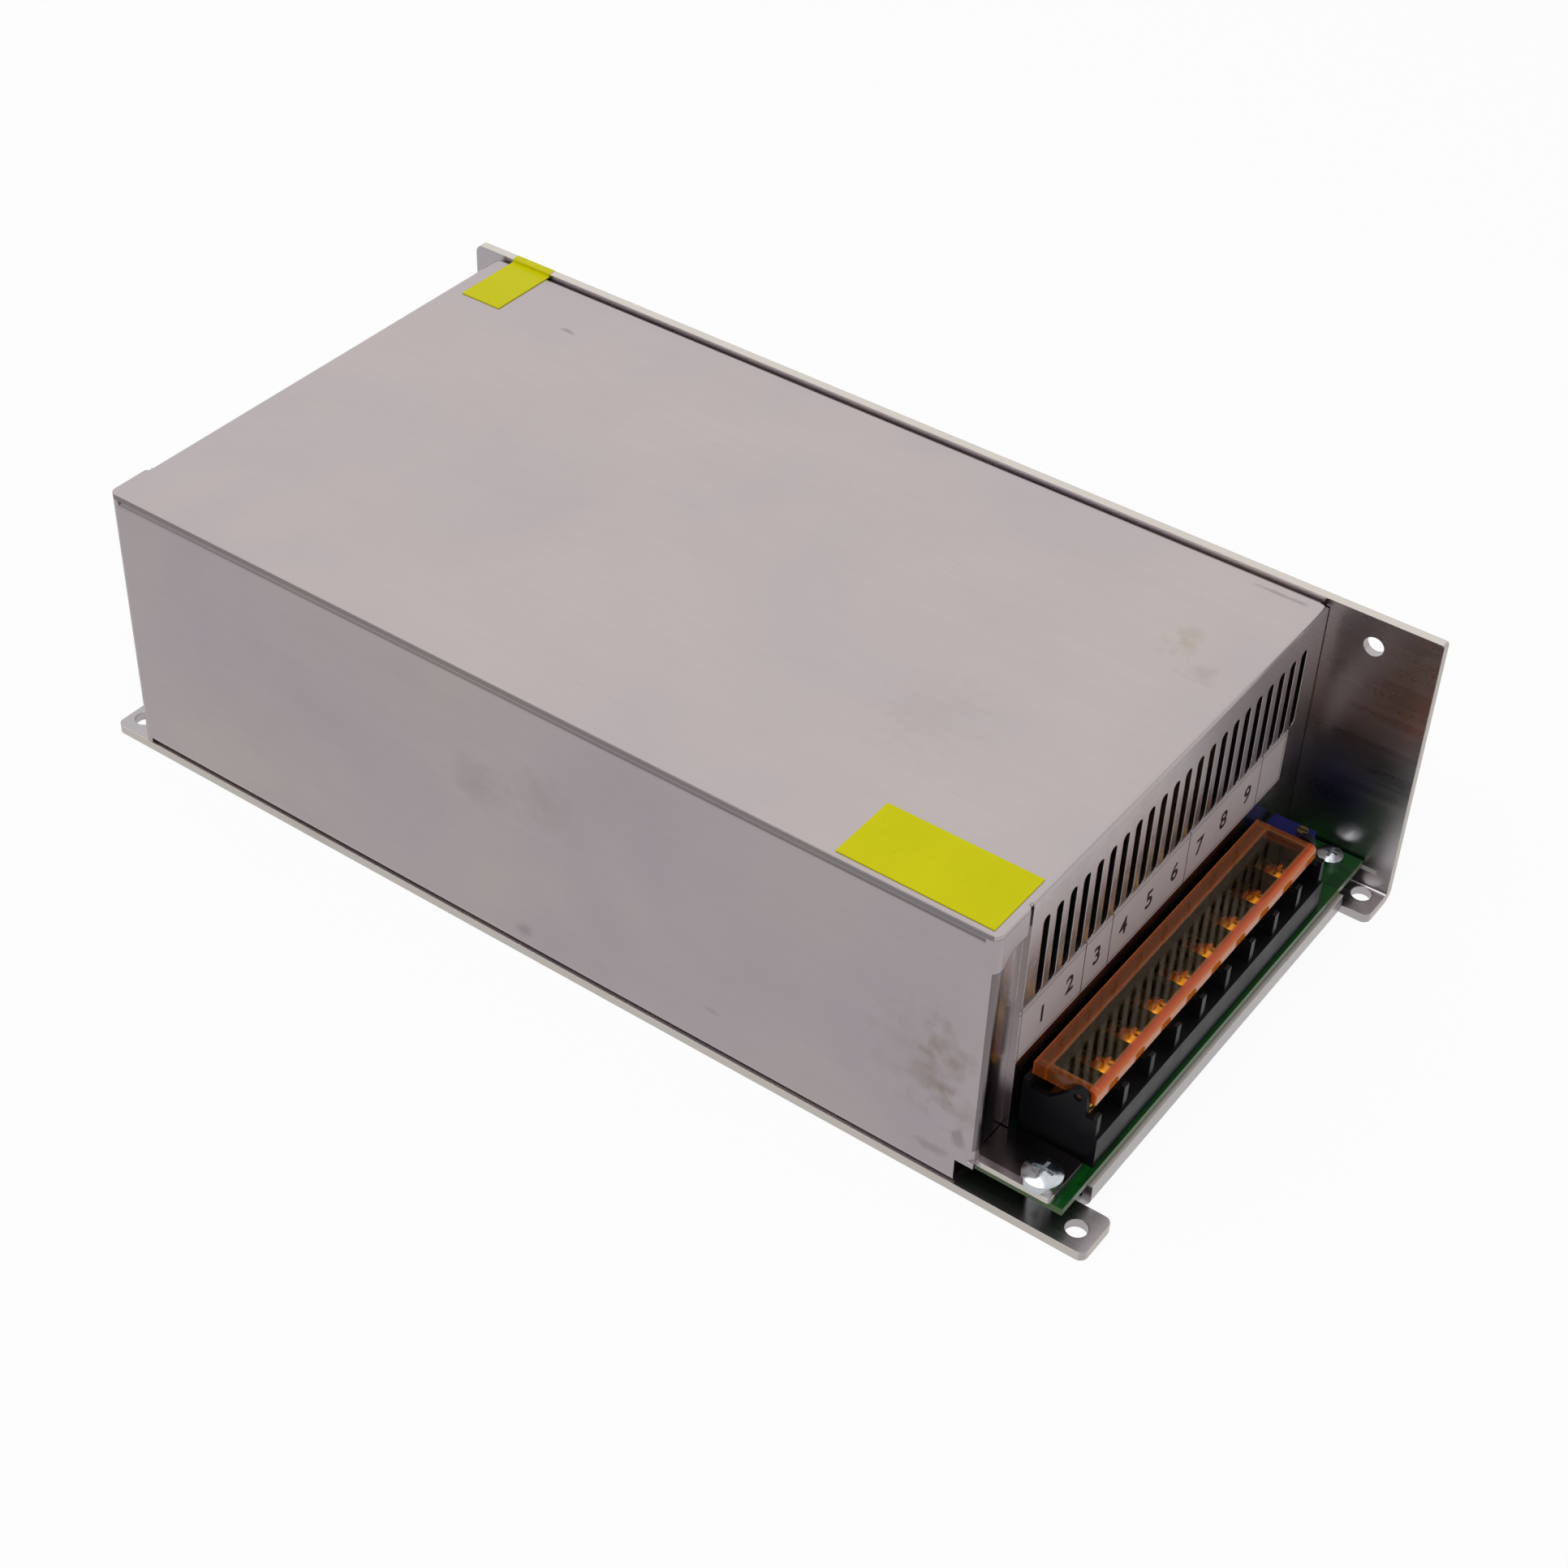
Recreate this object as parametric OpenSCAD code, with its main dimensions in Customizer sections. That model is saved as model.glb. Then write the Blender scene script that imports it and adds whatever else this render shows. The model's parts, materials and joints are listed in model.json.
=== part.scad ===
// Enclosed switching power supply: folded sheet case, covered screw terminals, cooling fan and circuit board.
// X runs along the case with the terminals at +X, the side panel faces -Y and Z is up.
// The origin is the centre of the plan on the surface that the case rests on.

/* [Case] */
// Length of the closed body over its two end panels
body_length = 215.5; // [208:0.5:240]
// Width over the side panel and the chassis wall
case_width = 125; // [123.5:0.5:140]
// Height to the top face of the cover
case_height = 67; // [66:0.5:80]
// Sheet thickness of the folded chassis
chassis_sheet = 2; // [1.6:0.1:2.4]
// Sheet thickness of the top cover
cover_sheet = 1; // [0.8:0.1:1.3]
// Sheet thickness of the side panel
side_sheet = 1.2; // [1:0.1:1.4]
// Reach of the chassis wall and corner tabs past the terminal end
front_overhang = 24.8; // [24:0.2:32]
// Reach of the corner tabs past the fan end
rear_overhang = 8.5; // [7.6:0.1:14]
// Reach of the chassis wall past the fan end
wall_rear_overhang = 7; // [4:0.5:7.5]
// Height of the chassis wall above the cover
wall_rise = 0.8; // [0.6:0.1:4]

/* [Mounting] */
// Width of each corner tab
tab_width = 10.7; // [9.6:0.1:13]
// Diameter of the mounting holes in the tabs and the wall
mount_hole_d = 4.4; // [3.2:0.1:5]
// Distance of the terminal end holes from the tab ends
front_hole_inset = 4.5; // [3.5:0.1:5]
// Distance of the fan end holes from the tab ends
rear_hole_inset = 3.6; // [3.4:0.1:4.4]
// Distance of the tab holes from the case sides
side_hole_inset = 4.9; // [4:0.1:5.6]
// Distance of the wall hole from the wall end
wall_hole_inset = 14.2; // [8:0.1:16]
// Distance of the wall hole below the wall top
wall_hole_drop = 6.8; // [5:0.1:14]

/* [Lip and board] */
// Distance of the turned-up lip past the terminal end
lip_reach = 19; // [18.9:0.1:20.5]
// Clearance between the lip and the board above it
lip_clearance = 1; // [0.4:0.1:2]
// Height of the board standoffs
standoff_height = 5; // [4:0.1:7]
// Diameter of the board standoffs
standoff_d = 5.4; // [5.2:0.1:7.5]
// Thickness of the circuit board
board_thickness = 1.6; // [1.2:0.1:2]
// Reach of the board past the terminal end
board_reach = 18.3; // [18:0.1:18.8]
// Clearance of the board from the case walls
board_clearance = 0.6; // [0.4:0.1:1]

/* [Grille] */
// Width of each tall slot
slot_width = 2.4; // [1.6:0.1:3]
// Spacing of the slots
slot_pitch = 4.63; // [4.2:0.01:6]
// Height of each slot
slot_height = 19.2; // [10:0.2:20]
// Distance from the cover top to the slots
slot_drop = 7; // [5:0.1:9]
// Diameter of the round fan vents
vent_d = 5.2; // [3:0.1:5.6]
// Spacing of the round fan vents
vent_pitch = 6.4; // [6.2:0.1:6.6]

/* [Terminals] */
// Spacing of the terminals
terminal_pitch = 9.75; // [9:0.05:9.8]
// Depth of the terminal block from back to front
block_depth = 16.6; // [16:0.1:17]
// Distance of the terminal block from the near side of the case
block_inset = 13.9; // [13.7:0.1:14.5]
// Distance of the trimmer from the far side of the case
trimmer_inset = 11.8; // [10:0.1:13]
// Least gap between the terminal block and the trimmer
trimmer_gap = 5; // [1:0.1:5.1]
// Height of the solid base of the terminal block
ledge_height = 7.4; // [6:0.1:8]
// Thickness of the walls between terminals
barrier_wall = 1.6; // [1.2:0.1:2]
// Height of the walls between terminals above the base
barrier_height = 4.4; // [4:0.1:4.5]
// Diameter of a terminal screw head
terminal_head_d = 6.6; // [5.5:0.1:7]
// Height of the lid of the terminal block over its rim
lid_height = 3.1; // [2.6:0.1:3.2]
// Wall thickness of the lid
lid_wall = 1; // [0.8:0.1:1.2]
// Width of the raised bar along the back of the lid
lid_rear_bar = 3; // [1.5:0.1:4]
// Radius of the hinge pins of the lid
lid_pin_r = 0.8; // [0.7:0.05:1]
// Radial clearance of the hinge pins and the other turning fits
running_clearance = 0.06; // [0.04:0.01:0.1]

/* [Labels] */
// Thickness of the stuck-on labels
label_thickness = 0.2; // [0.1:0.05:0.3]
// Height of the terminal strip label
strip_height = 13; // [9:0.5:14]
// Length of the large sticker
sticker_length = 33.4; // [20:0.2:50]
// Width of the large sticker
sticker_width = 16.4; // [10:0.2:24]
// Distance of the large sticker from the terminal end
sticker_end_inset = 1.8; // [1:0.1:10]
// Distance of the large sticker from the near side of the case
sticker_side_inset = 1.5; // [0.5:0.1:10]
// Length of the small sticker
small_sticker_length = 10.8; // [6:0.2:20]
// Width of the small sticker on the cover, before it steps up over the chassis wall
small_sticker_width = 18; // [10:0.2:30]
// Distance of the small sticker from the fan end
small_sticker_inset = 4.2; // [2:0.1:20]

/* [Fan] */
// Clearance of the square fan frame from the floor and the cover
fan_clearance = 2; // [0.4:0.1:3]
// Depth of the fan frame
fan_depth = 15; // [12:0.5:20]
// Diameter of the fan hub
hub_d = 27; // [22:0.5:30]
// Number of fan blades
blade_count = 7; // [5:1:9]

/* [Inside] */
// Diameter of the bulk capacitors
bulk_d = 30; // [22:1:32]
// Height of the bulk capacitors
bulk_height = 46; // [30:1:50]
// Diameter of the output capacitors
output_cap_d = 12.5; // [8:0.5:14]
// Height of the output capacitors
output_cap_height = 25; // [16:1:32]
// Length of the transformer core
core_length = 42; // [34:1:44]
// Height of the transformer core
core_height = 40; // [30:1:44]
// Distance of the heat spreading bars from the fan end
bar_rear_gap = 55; // [50:1:60]
// Distance of the heat spreading bars from the terminal end
bar_front_gap = 50.5; // [50:0.5:56]
// Height of the heat spreading bars
bar_height = 30; // [24:1:36]

/* [Hidden] */
$fn = 48;
rear_x = -(body_length + front_overhang - rear_overhang) / 2;
front_x = rear_x + body_length;
near_y = -case_width / 2;
far_y = case_width / 2;
board_z = chassis_sheet + standoff_height;
board_top = board_z + board_thickness;
cover_under = case_height - cover_sheet;
wall_in = far_y - chassis_sheet;
side_in = near_y + side_sheet;
wall_top = case_height + wall_rise;
chassis_bend = chassis_sheet + 0.6;
side_bend = side_sheet + 0.8;
cover_bend = cover_sheet + 0.2;
tab_end_x = front_x + front_overhang;
rear_tab_x = rear_x - rear_overhang;
lip_x = front_x + lip_reach;
lip_top = board_z - lip_clearance;
relief = 1.3;
sheet_gap = 0.3;
// Front foot of the side panel
foot_length = 15.8;
foot_width = 12;
foot_inset = 1.3;
foot_root = 4;
foot_top = board_top + side_sheet;
// Side panel flanges
side_top = cover_under;
end_flange = 2.9;
flange_tab_width = 9.4;
flange_tab_height = 5.8;
flange_fillet = 4;
top_flange = 8;
// End panels of the cover
fold_start = near_y + flange_tab_width + 2.4;
joggle = side_sheet + sheet_gap;
margin_start = near_y + side_sheet + end_flange - 1;
panel_far = wall_in - sheet_gap;
panel_bottom = foot_top + sheet_gap;
cover_flange = 12;
// Board fixings: the two at the terminal end and four inside the body
front_fix_x = front_x + 11.8;
near_fix_y = near_y + 5;
far_fix_y = wall_in - board_clearance - 3.9;
inner_near_y = near_y + 13;
inner_far_y = wall_in - 8;
inner_fix_x = [rear_x + 30, front_x - bar_front_gap + 13];
thread_d = 3;
foot_thread_d = 4;
thread_clearance = 0.1;
// Trimmer beside the far end of the terminal block
trimmer_length = 9.6;
trimmer_width = 4.8;
trimmer_height = 10.2;
trimmer_x = front_x + 0.8;
trimmer_y = far_y - trimmer_inset - trimmer_width;
trimmer_screw_x = trimmer_x + trimmer_length - 2.1;
// Terminal block
block_back = front_x + 0.9;
block_front = block_back + block_depth;
block_y = near_y + block_inset;
ways = floor((trimmer_y - trimmer_gap - block_y - barrier_wall) / terminal_pitch);
block_length = ways * terminal_pitch + barrier_wall;
block_far = block_y + block_length;
ledge_z = board_top + ledge_height;
barrier_z = ledge_z + barrier_height;
lid_top = ledge_z + 9.6;
lid_base = lid_top - lid_height;
lid_pivot_x = block_front - 5.1;
lid_pivot_z = lid_top - 1.4;
lid_gap = 0.3;
ear_wall = 1.4;
pin_grip = 0.9;
ear_r = lid_pin_r + 1.2;
lid_y = block_y + ear_wall + lid_gap;
lid_length = block_length - 2 * (ear_wall + lid_gap);
lid_back = block_back + 0.9;
lid_front = lid_pivot_x + 3;
screw_x = block_front - 7.8;
clamp_thickness = 0.9;
// Labels
strip_y = near_y + 11.2 - label_thickness;
strip_length = trimmer_y + trimmer_width - strip_y;
strip_z = case_height - slot_drop - slot_height - strip_height - 0.2;
// Fan
fan_x = rear_x + cover_sheet;
fan_z = (chassis_sheet + cover_under) / 2;
fan_size = cover_under - chassis_sheet - 2 * fan_clearance;
fan_hole_spacing = fan_size - 10;
fan_bore_r = fan_size / 2 - 1.5;
hub_base_thickness = 3;
rotor_gap = 0.5;
shaft_r = 1.5;
// Heat spreading bars
bar_thickness = 6;
bar_x = rear_x + bar_rear_gap;
bar_length = body_length - bar_rear_gap - bar_front_gap;
near_bar_y = side_in + board_clearance;
far_bar_y = wall_in - sheet_gap - bar_thickness;
transistor_width = 15.6;
transistor_thickness = 5;
transistor_height = 20.5;
lead_length = 6;
transistor_count = 3;
clamp_bar = 2.4;
// Chokes: middle radius of the ring, radius of its section
input_choke = [10, 4];
output_choke = [13, 5];
wire_layer = 1.6;
function choke_reach(choke) = choke[0] + choke[1] + wire_layer;
function choke_rise(choke) = choke[1] + wire_layer;
input_choke_place = [front_x - 42, near_y + 39, board_top + choke_rise(input_choke)];
// Parts on the input side, from the terminal end to the fan end
part_gap = 1.5;
film_depth = 11;
film_width = 26;
film_y = near_y + 22;
filter_depth = 9;
filter_x = input_choke_place[0] - choke_reach(input_choke) - 7.4 - filter_depth;
bulk_gap = 3;
bulk_x = [for (i = [1, 0]) filter_x - part_gap - bulk_d / 2 - i * (bulk_d + bulk_gap)];
bulk_y = near_bar_y + bar_thickness + transistor_thickness + clamp_bar + 4 + bulk_d / 2;
// Parts on the output side
output_cap_pitch = output_cap_d + 1;
output_cap_start = wall_in - 14;
output_caps = floor((output_cap_start + output_cap_d / 2 + 1 - film_y - film_width - 0.5) / output_cap_pitch);
far_room = far_bar_y - transistor_thickness - clamp_bar - 2.4;
output_choke_place = [
    front_x - 52,
    (input_choke_place[1] + choke_reach(input_choke) + far_room) / 2,
    board_top + choke_rise(output_choke)
];
core_depth = 21;
core_x = output_choke_place[0] - choke_reach(output_choke) - 6 - core_length;
winding_wall = 8;
core_y = bulk_y + bulk_d / 2 + 4 + winding_wall;

// Outline in (Y, Z) swept along X
module along_x(start, length) {
    translate([start, 0, 0]) rotate([90, 0, 90]) linear_extrude(length) children();
}

// Outline in (X, Z) swept along Y
module along_y(start, length) {
    translate([0, start + length, 0]) rotate([90, 0, 0]) linear_extrude(length) children();
}

// Quarter ring of a folded sheet; sx and sy point from the bend centre to the corner
module bend(r, sheet, sx, sy) {
    intersection() {
        difference() {
            circle(r);
            circle(r - sheet);
        }
        translate([sx < 0 ? -r : 0, sy < 0 ? -r : 0]) square(r);
    }
}

// What a rounded corner removes from a square one
module corner_waste(r, sx, sy) {
    difference() {
        translate([sx < 0 ? -r - 0.5 : 0, sy < 0 ? -r - 0.5 : 0]) square(r + 0.5);
        circle(r);
    }
}

module rounded_plate(length, width, r) {
    translate([r, 0]) square([length - 2 * r, width]);
    translate([0, r]) square([length, width - 2 * r]);
    for (x = [r, length - r], y = [r, width - r]) translate([x, y]) circle(r);
}

module chassis_outline() {
    corner = 1.8;
    difference() {
        union() {
            translate([rear_x, near_y]) square([body_length + lip_reach - chassis_bend, case_width - chassis_bend]);
            translate([rear_tab_x, near_y]) rounded_plate(rear_overhang + 20, tab_width, corner);
            translate([front_x - 20, near_y]) rounded_plate(front_overhang + 20, tab_width, corner);
            translate([rear_tab_x, far_y - tab_width]) square([rear_overhang + 20, tab_width - chassis_bend]);
            translate([front_x, far_y - tab_width]) square([front_overhang, tab_width - chassis_bend]);
        }
        translate([tab_end_x - corner, far_y - tab_width + corner]) corner_waste(corner, 1, -1);
        translate([rear_tab_x + corner, far_y - tab_width + corner]) corner_waste(corner, -1, -1);
        for (y = [near_y + tab_width, far_y - tab_width - relief])
            translate([lip_x - chassis_bend, y]) square([front_overhang, relief]);
    }
}

module wall_profile() {
    translate([far_y - chassis_bend, chassis_bend]) bend(chassis_bend, chassis_sheet, 1, -1);
    translate([wall_in, chassis_bend]) square([chassis_sheet, wall_top - chassis_bend]);
}

module lip_profile() {
    translate([lip_x - chassis_bend, chassis_bend]) bend(chassis_bend, chassis_sheet, 1, -1);
    translate([lip_x - chassis_sheet, chassis_bend]) square([chassis_sheet, lip_top - chassis_bend]);
}

function mount_xs() = [rear_tab_x + rear_hole_inset, tab_end_x - front_hole_inset];
function mount_ys() = [near_y + side_hole_inset, far_y - side_hole_inset];
function cover_screw_xs() = [rear_x + 20, rear_x + body_length / 2, front_x - 20];
cover_screw_z = case_height - 7;
function base_screw_xs() = [rear_x + 25, rear_x + body_length / 2, front_x - 30];
base_screw_y = near_y + 4.6;
countersink_d = 5.6;
case_thread_d = 3;

module chassis() {
    color("lightslategray") difference() {
        union() {
            linear_extrude(chassis_sheet) chassis_outline();
            along_x(rear_tab_x, tab_end_x - rear_tab_x) wall_profile();
            along_y(near_y + tab_width + relief, case_width - 2 * (tab_width + relief)) lip_profile();
        }
        for (x = mount_xs(), y = mount_ys()) translate([x, y, -1]) cylinder(d = mount_hole_d, h = chassis_sheet + 2);
        translate([tab_end_x - wall_hole_inset, wall_in - 1, wall_top - wall_hole_drop])
            rotate([-90, 0, 0]) cylinder(d = mount_hole_d, h = chassis_sheet + 2);
        translate([rear_tab_x - 1, wall_in - 1, chassis_bend])
            cube([rear_overhang - wall_rear_overhang + 1, chassis_sheet + 2, wall_top]);
        along_y(wall_in - 1, chassis_sheet + 2) {
            translate([tab_end_x - 0.8, wall_top - 0.8]) corner_waste(0.8, 1, 1);
            translate([rear_x - wall_rear_overhang + 2, wall_top - 2]) corner_waste(2, -1, 1);
        }
        for (x = cover_screw_xs()) translate([x, far_y, cover_screw_z]) rotate([90, 0, 0]) countersunk_hole();
        for (x = base_screw_xs()) translate([x, base_screw_y, 0]) countersunk_hole();
    }
}

// Countersunk hole through the chassis sheet, entering at z = 0
module countersunk_hole() {
    translate([0, 0, -1]) cylinder(d = case_thread_d + 0.4, h = chassis_sheet + 2);
    translate([0, 0, -0.01]) cylinder(d1 = countersink_d, d2 = case_thread_d + 0.4, h = 1.2);
}

module countersunk_screw(length) {
    difference() {
        union() {
            cylinder(d1 = countersink_d - 0.1, d2 = case_thread_d - 0.1, h = 1.3);
            cylinder(d = case_thread_d - 0.1, h = length);
        }
        cross_recess(0.8, 2.6);
    }
}

// Cross recess cut upwards from z = 0
module cross_recess(depth, size) {
    for (a = [0, 90]) rotate([0, 0, a]) translate([-size / 2, -0.35, -0.01]) cube([size, 0.7, depth]);
}

// Side panel: upright plate with its top and bottom edges folded in, as an outline in (Y, Z)
module side_profile() {
    translate([near_y, chassis_sheet + side_bend]) square([side_sheet, side_top - chassis_sheet - 2 * side_bend]);
    for (s = [-1, 1]) {
        edge_z = s < 0 ? chassis_sheet : side_top;
        translate([near_y + side_bend, edge_z - s * side_bend]) bend(side_bend, side_sheet, -1, s);
        translate([near_y + side_bend, s < 0 ? edge_z : edge_z - side_sheet])
            square([top_flange - side_bend, side_sheet]);
    }
}

// Folded ends of the side panel with a short run of its plate, as a plan outline
module side_ends_plan() {
    run = 0.5;
    for (s = [-1, 1]) {
        end_x = s < 0 ? rear_x : front_x;
        translate([end_x - s * side_bend, near_y + side_bend]) bend(side_bend, side_sheet, s, -1);
        translate([s < 0 ? end_x + side_bend - 0.1 : end_x - side_bend - run, near_y]) square([run + 0.1, side_sheet]);
        translate([s < 0 ? end_x : end_x - side_sheet, near_y + side_bend])
            square([side_sheet, end_flange - side_bend]);
    }
}

// End flange tab and the fillet below it, as an outline in (Y, Z)
module flange_tab() {
    tab_z = side_top - flange_tab_height;
    difference() {
        union() {
            translate([near_y + side_bend, tab_z]) square([flange_tab_width + 1.3 - side_bend, flange_tab_height]);
            translate([near_y + end_flange - 0.5, tab_z - flange_fillet])
                square([flange_fillet + 0.5, flange_fillet + 0.5]);
        }
        translate([near_y + end_flange + flange_fillet, tab_z - flange_fillet]) circle(flange_fillet);
        translate([near_y + end_flange + flange_fillet, tab_z - flange_fillet * 2])
            square([flange_fillet, flange_fillet * 2]);
    }
}

module side_panel() {
    color("silver") difference() {
        union() {
            along_x(rear_x + side_bend, body_length - 2 * side_bend) side_profile();
            translate([0, 0, chassis_sheet]) linear_extrude(side_top - chassis_sheet) side_ends_plan();
            along_x(front_x - side_sheet, side_sheet) flange_tab();
            along_x(rear_x, side_sheet) flange_tab();
            translate([front_x - foot_root, near_y, board_top])
                cube([foot_root, foot_inset + foot_width, side_sheet]);
            translate([front_x - foot_root, near_y + foot_inset, board_top])
                linear_extrude(side_sheet) rounded_plate(foot_root + foot_length, foot_width, 0.8);
        }
        translate([front_x - foot_root, near_y - 1, chassis_sheet - 1])
            cube([foot_root + 1, top_flange + 2, board_top - chassis_sheet + 1]);
        translate([front_fix_x, near_fix_y, board_top - 1]) cylinder(d = foot_thread_d + 0.5, h = side_sheet + 2);
        for (x = base_screw_xs())
            translate([x, base_screw_y, chassis_sheet - 1]) cylinder(d = case_thread_d, h = side_sheet + 2);
    }
}

// Top cover: top plate, both end panels and the flange inside the chassis wall
module top_plate_plan() {
    corner = 2;
    difference() {
        union() {
            translate([rear_x, near_y]) square([body_length, fold_start - near_y]);
            translate([rear_x + cover_bend, near_y])
                square([body_length - 2 * cover_bend, panel_far - cover_bend - near_y]);
        }
        for (s = [-1, 1]) {
            translate([s < 0 ? rear_x + corner : front_x - corner, near_y + corner]) corner_waste(corner, s, -1);
            translate([s < 0 ? rear_x : front_x, fold_start - 0.6]) circle(0.7);
        }
    }
}

// Set-back margin of the end panel behind the side panel flange, as a plan outline
module end_margin_plan() {
    translate([front_x - joggle - cover_sheet, margin_start]) square([cover_sheet, fold_start - margin_start]);
    translate([front_x - joggle - cover_sheet, fold_start]) square([joggle + cover_sheet, cover_sheet]);
}

// End panel at the terminal end: the bend, the plate below it and the set-back margin
module end_panel() {
    along_y(fold_start, panel_far - cover_bend - fold_start)
        translate([front_x - cover_bend, case_height - cover_bend]) bend(cover_bend, cover_sheet, 1, 1);
    translate([front_x - cover_sheet, fold_start, panel_bottom])
        cube([cover_sheet, panel_far - fold_start, case_height - cover_bend - panel_bottom]);
    translate([0, 0, panel_bottom])
        linear_extrude(cover_under - side_sheet - 0.4 - panel_bottom) end_margin_plan();
}

module slot(x, y, z) {
    translate([x, y, z]) rotate([90, 0, 90]) linear_extrude(cover_sheet + 2) {
        translate([-slot_width / 2, slot_width / 2]) square([slot_width, slot_height - slot_width]);
        translate([0, slot_width / 2]) circle(d = slot_width);
        translate([0, slot_height - slot_width / 2]) circle(d = slot_width);
    }
}

slot_start = fold_start + 5.4;
slot_count = floor((panel_far - 6.6 - slot_start) / slot_pitch) + 1;
vent_rings = floor((fan_size / 2 - 2) / vent_pitch);

module top_cover() {
    color("gainsboro") difference() {
        union() {
            translate([0, 0, cover_under]) linear_extrude(cover_sheet) top_plate_plan();
            end_panel();
            translate([rear_x + front_x, 0, 0]) mirror([1, 0, 0]) end_panel();
            along_x(rear_x + cover_bend + 0.3, body_length - 2 * (cover_bend + 0.3)) {
                translate([panel_far - cover_bend, case_height - cover_bend]) bend(cover_bend, cover_sheet, 1, 1);
                translate([panel_far - cover_sheet, case_height - cover_flange])
                    square([cover_sheet, cover_flange - cover_bend]);
            }
        }
        for (i = [0:slot_count - 1])
            slot(front_x - cover_sheet - 1, slot_start + i * slot_pitch, case_height - slot_drop - slot_height);
        fan_vents();
        for (x = cover_screw_xs())
            translate([x, panel_far + 1, cover_screw_z]) rotate([90, 0, 0])
                cylinder(d = case_thread_d, h = cover_sheet + 2);
    }
}

module fan_vents() {
    translate([rear_x - 1, 0, fan_z]) rotate([0, 90, 0]) {
        cylinder(d = vent_d, h = cover_sheet + 2);
        for (ring = [1:vent_rings], i = [0:ring * 6 - 1])
            rotate([0, 0, i * 60 / ring]) translate([ring * vent_pitch, 0, 0]) cylinder(d = vent_d, h = cover_sheet + 2);
    }
    for (y = [-1, 1], z = [-1, 1])
        translate([rear_x - 1, y * fan_hole_spacing / 2, fan_z + z * fan_hole_spacing / 2])
            rotate([0, 90, 0]) cylinder(d = 3.6, h = cover_sheet + 2);
}

module cover_screws() {
    color("darkgray") for (x = cover_screw_xs())
        translate([x, far_y, cover_screw_z]) rotate([90, 0, 0]) countersunk_screw(chassis_sheet + 4);
}

module base_screws() {
    color("darkgray") for (x = base_screw_xs()) translate([x, base_screw_y, 0]) countersunk_screw(chassis_sheet + 2.6);
}

// Board and its fixings
module board() {
    x0 = rear_x + cover_sheet + fan_depth + 4;
    color("darkgreen") difference() {
        translate([x0, side_in + board_clearance, board_z])
            cube([front_x + board_reach - x0, wall_in - side_in - 2 * board_clearance, board_thickness]);
        for (p = fixings()) translate([p[0], p[1], board_z - 1]) cylinder(d = p[2] + 0.4, h = board_thickness + 2);
    }
}

function fixings() = concat(
    [[front_fix_x, near_fix_y, foot_thread_d], [front_fix_x + 0.6, far_fix_y, thread_d]],
    [for (x = inner_fix_x, y = [inner_near_y, inner_far_y]) [x, y, thread_d]]
);

module board_standoffs() {
    color("silver") for (p = fixings()) translate([p[0], p[1], chassis_sheet]) difference() {
        cylinder(d = standoff_d, h = standoff_height);
        translate([0, 0, -1]) cylinder(d = p[2], h = standoff_height + 2);
    }
}

// Pan head screw with its seat at z = 0
module pan_screw(head_d, head_h, shank_d, length) {
    difference() {
        union() {
            rotate_extrude() intersection() {
                translate([0, head_h - head_d]) circle(head_d, $fn = 96);
                square([head_d / 2, head_h]);
            }
            translate([0, 0, -length]) cylinder(d = shank_d, h = length + 0.2);
        }
        translate([0, 0, head_h]) mirror([0, 0, 1]) cross_recess(head_h * 0.55, head_d * 0.55);
    }
}

module foot_screw() {
    color("silver") translate([front_fix_x, near_fix_y, foot_top])
        pan_screw(8, 2.8, foot_thread_d - thread_clearance, side_sheet + board_thickness + standoff_height - 0.5);
}

module board_screws() {
    color("silver") for (p = fixings()) if (p[2] == thread_d) translate([p[0], p[1], board_top])
        pan_screw(5.6, 2.2, thread_d - thread_clearance, board_thickness + standoff_height - 0.5);
}

// Terminal block: base, back wall, barriers and hinge ears
module block_side() {
    translate([block_back, board_top]) square([block_depth, ledge_height]);
    translate([block_back, board_top]) square([block_depth - 0.5, ledge_height + barrier_height]);
    translate([block_front - 1.4, ledge_z]) square([0.9, barrier_height + 1.3]);
}

module ear_side() {
    block_side();
    translate([lid_pivot_x - ear_r, barrier_z - 1]) square([2 * ear_r, lid_pivot_z - barrier_z + 1]);
    polygon([[lid_pivot_x - ear_r - 4, barrier_z], [lid_pivot_x - ear_r + 1, barrier_z],
        [lid_pivot_x - ear_r + 1, lid_pivot_z], [lid_pivot_x - ear_r, lid_pivot_z]]);
    translate([lid_pivot_x, lid_pivot_z]) circle(ear_r);
}

module terminal_block() {
    color([0.09, 0.09, 0.1]) difference() {
        union() {
            translate([block_back, block_y, board_top]) cube([block_depth, block_length, ledge_height]);
            translate([block_back, block_y, board_top]) cube([1.4, block_length, lid_base - lid_gap - board_top]);
            for (i = [1:ways - 1]) along_y(block_y + i * terminal_pitch, barrier_wall) block_side();
            along_y(block_y, ear_wall) ear_side();
            along_y(block_far - ear_wall, ear_wall) ear_side();
        }
        translate([lid_pivot_x, block_y - 1, lid_pivot_z]) rotate([-90, 0, 0])
            cylinder(r = lid_pin_r + running_clearance, h = block_length + 2);
        for (i = [0:ways - 1]) translate([screw_x, terminal_y(i), ledge_z - 5]) cylinder(d = 3.4, h = 6);
    }
}

function terminal_y(i) = block_y + barrier_wall / 2 + terminal_pitch * (i + 0.5);

module terminal_clamps() {
    color("silver") for (i = [0:ways - 1]) translate([screw_x, terminal_y(i), ledge_z]) difference() {
        translate([-5.2, -3.7, 0]) cube([8.6, 7.4, clamp_thickness]);
        translate([0, 0, -1]) cylinder(d = 3.4, h = clamp_thickness + 2);
    }
}

module terminal_screws() {
    color("tan") for (i = [0:ways - 1]) translate([screw_x, terminal_y(i), ledge_z + clamp_thickness])
        pan_screw(terminal_head_d, 2, 3.2, clamp_thickness + 3.6);
}

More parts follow.
